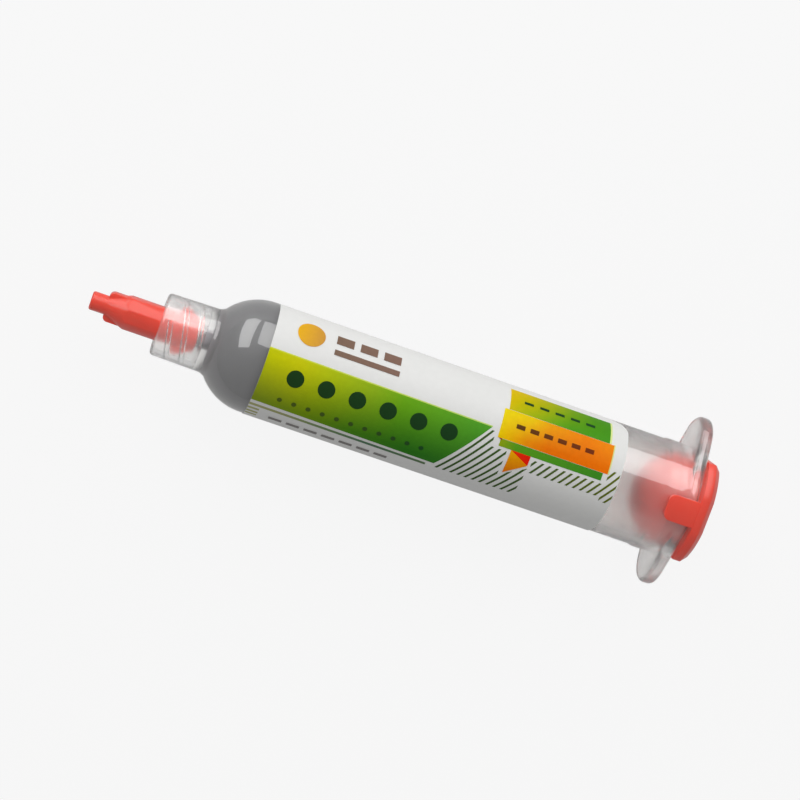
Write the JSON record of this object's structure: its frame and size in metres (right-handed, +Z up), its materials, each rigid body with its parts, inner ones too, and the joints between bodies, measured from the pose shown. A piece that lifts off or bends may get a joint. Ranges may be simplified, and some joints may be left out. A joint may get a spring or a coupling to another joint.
{
  "type": "solder paste syringe",
  "caption": "Clear dispensing syringe of grey solder paste with a round shoulder, locking tip cap, clipped end cap, piston and printed label.",
  "frame": {"origin": "centre of the footprint, on the surface that the syringe lies on", "axes": "+X along the barrel from the nozzle to the end cap, Y across the finger wings, +Z up out of the printed face"},
  "size_m": [0.1054, 0.0294, 0.0211],
  "materials": {
    "clear_polypropylene": "clear, slightly milky injection moulding",
    "red_cap_plastic": "satin injection moulding",
    "white_polyethylene": "satin injection moulding",
    "grey_paste": "wet fine-grained paste",
    "white_film": "coated film label",
    "green_ink": "print under varnish",
    "olive_ink": "print under varnish",
    "dark_green_ink": "print under varnish",
    "leaf_green_ink": "print under varnish",
    "lime_ink": "print under varnish",
    "orange_ink": "print under varnish",
    "amber_ink": "print under varnish",
    "forest_ink": "print under varnish"
  },
  "bodies": {
    "barrel": {"barrel": "clear_polypropylene", "paste": "grey_paste", "label": "white_film", "print_band": "green_ink", "print_rules": "olive_ink", "print_hatch": "dark_green_ink", "print_strip": "leaf_green_ink", "print_upper_tag": "lime_ink", "print_lower_tag": "orange_ink", "print_ribbon": "amber_ink", "print_marks": "forest_ink"},
    "tip_cap": {"tip_cap": "red_cap_plastic"},
    "end_cap": {"end_cap": "red_cap_plastic"},
    "piston": {"piston": "white_polyethylene"}
  },
  "joints": [
    {"name": "tip_cap_pull", "type": "slide", "parent": "barrel", "child": "tip_cap", "axis": [-1, 0, 0], "range_m": [0, 0.025]},
    {"name": "end_cap_pull", "type": "slide", "parent": "barrel", "child": "end_cap", "axis": [1, 0, 0], "range_m": [0, 0.025]},
    {"name": "piston_travel", "type": "slide", "parent": "barrel", "child": "piston", "axis": [-1, 0, 0], "range_m": [0, 0.0365], "deforming": ["paste"]}
  ]
}
